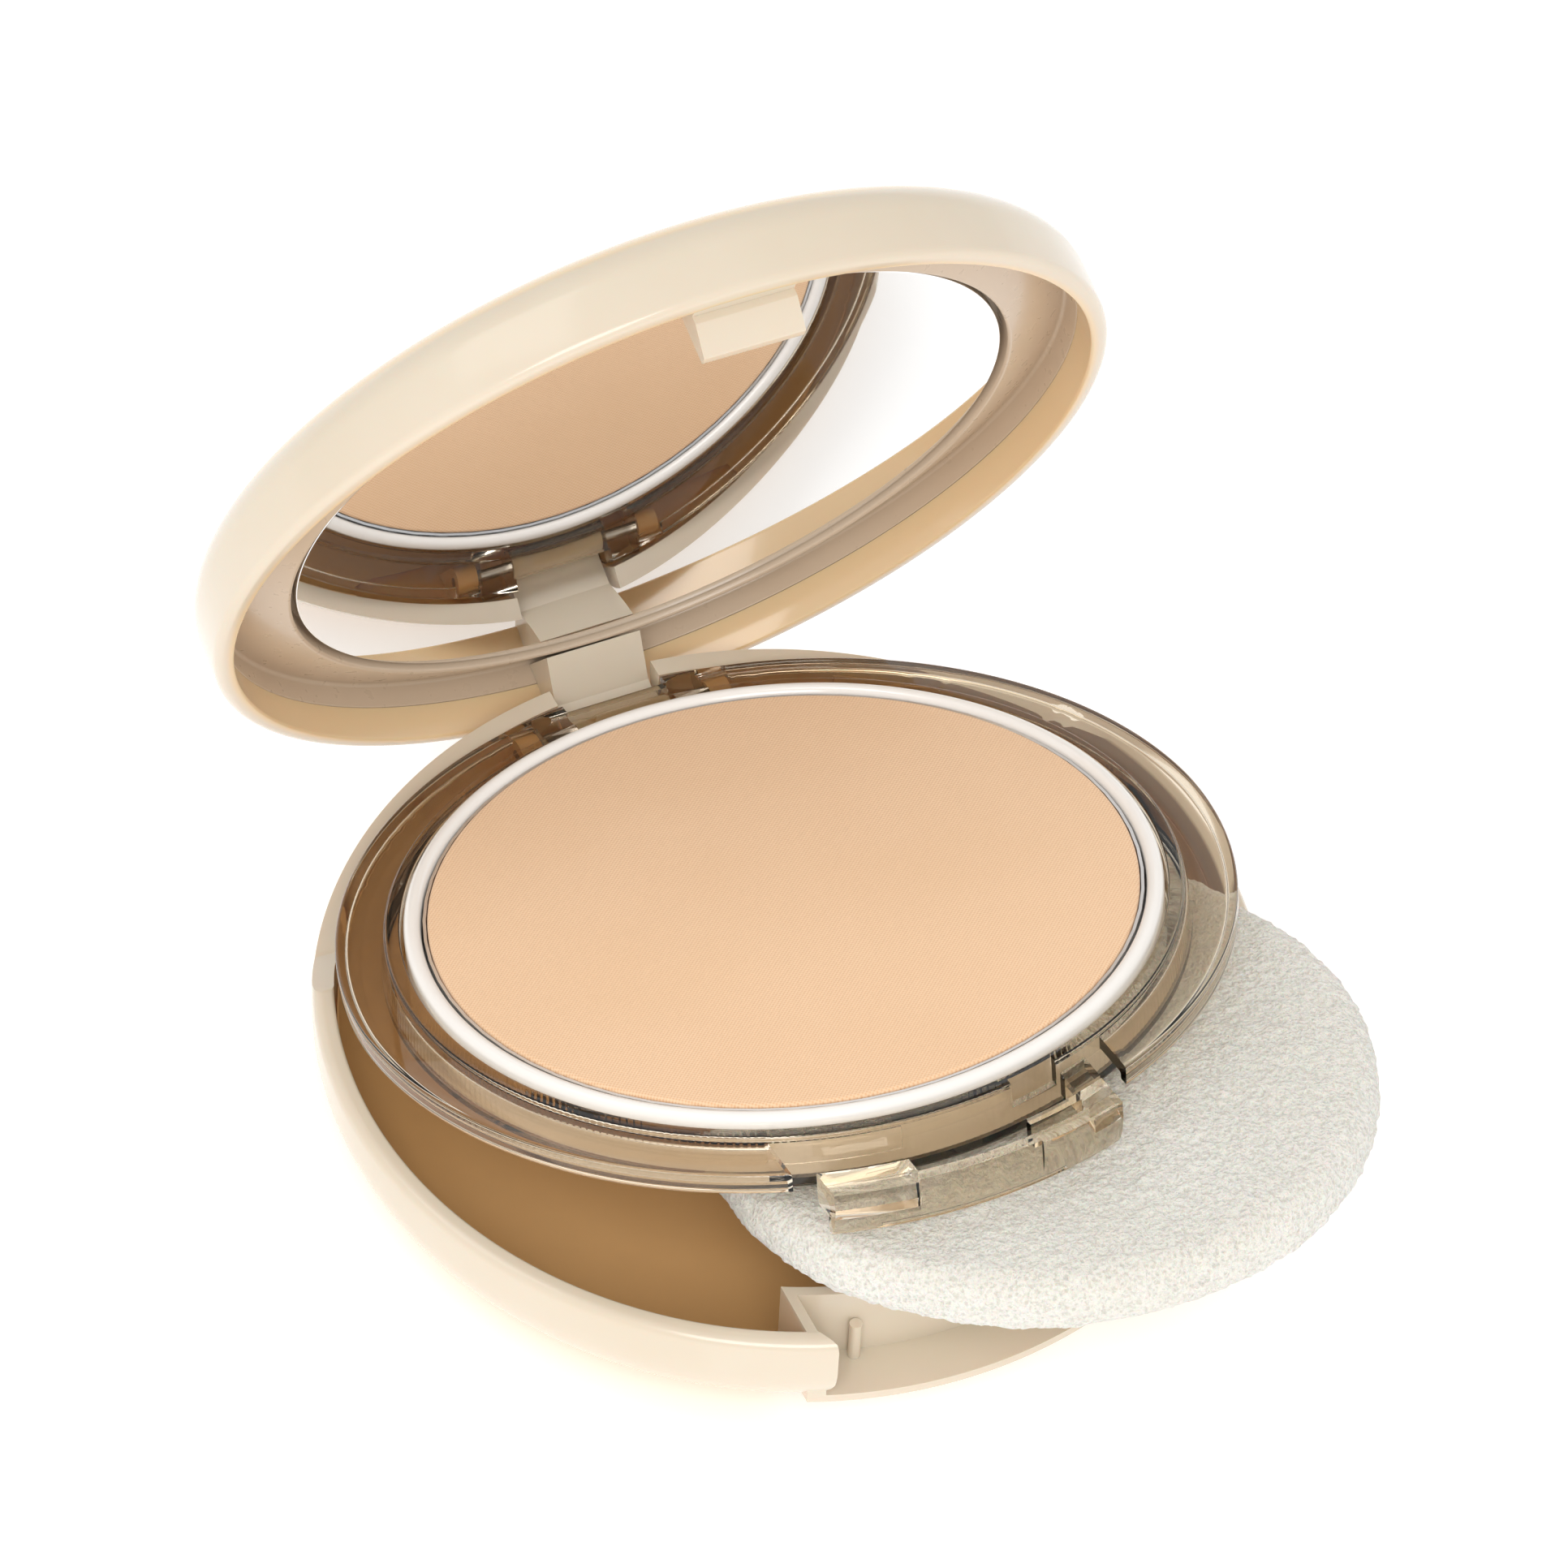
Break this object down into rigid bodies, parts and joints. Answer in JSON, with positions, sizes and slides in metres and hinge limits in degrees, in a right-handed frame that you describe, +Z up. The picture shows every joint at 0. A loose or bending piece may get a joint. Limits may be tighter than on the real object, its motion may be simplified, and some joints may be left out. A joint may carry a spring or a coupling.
{
  "type": "powder compact",
  "caption": "Round make-up compact: cream shell, mirror lid, smoky lift-up tray with a pressed powder refill, push latch and a flocked puff.",
  "frame": {"origin": "centre of the base's standing face, on the surface it stands on", "axes": "+Z up through the centre of the base, +Y towards the hinge, -Y towards the push latch"},
  "size_m": [0.076, 0.0932, 0.0781],
  "materials": {
    "cream": "gloss",
    "tan": "satin",
    "paper": "matt paper",
    "steel": "bright",
    "smoke": "gloss, translucent",
    "white": "gloss",
    "adhesive": "matt",
    "tin": "satin",
    "powder": "pressed powder, embossed weave",
    "blush": "satin",
    "glass": "mirror",
    "flock": "flocked"
  },
  "bodies": {
    "base": {"base_shell": "cream", "base_inner_dish": "tan", "bottom_label": "paper", "hinge_pin_left": "steel", "hinge_pin_right": "steel"},
    "tray": {"tray": "smoke", "refill_holder": "white", "pan_glue_pad": "adhesive", "powder_pan": "tin", "powder_cake": "powder"},
    "latch": {"latch_button": "smoke"},
    "lid": {"lid_shell": "cream", "lid_liner": "blush", "mirror_tape": "adhesive", "mirror": "glass"},
    "puff": {"powder_puff": "flock"}
  },
  "joints": [
    {"name": "tray_hinge", "type": "hinge", "parent": "base", "child": "tray", "pos_m": [0, 0.03274, 0.00829], "axis": [-1, 0, 0], "range_deg": [-14.6, 0], "deforming": ["powder_puff"]},
    {"name": "lid_hinge", "type": "hinge", "parent": "tray", "child": "lid", "pos_m": [0, 0.03274, 0.00829], "axis": [-1, 0, 0], "range_deg": [-55.6, 25]},
    {"name": "latch_flex", "type": "hinge", "parent": "tray", "child": "latch", "pos_m": [0.01085, -0.03189, 0.02731], "axis": [0, -0.2521, -0.9677], "range_deg": [0, 2], "stiffness_Nm_per_rad": 0.5},
    {"name": "puff_stow", "type": "hinge", "parent": "base", "child": "puff", "pos_m": [0.06084, 0.03862, 0.0482], "axis": [0.65, -0.0808, -0.7557], "range_deg": [0, 18.7]}
  ],
  "couplings": [
    {"joint": "puff_stow", "follows": "tray_hinge", "ratio": -1.2791}
  ]
}
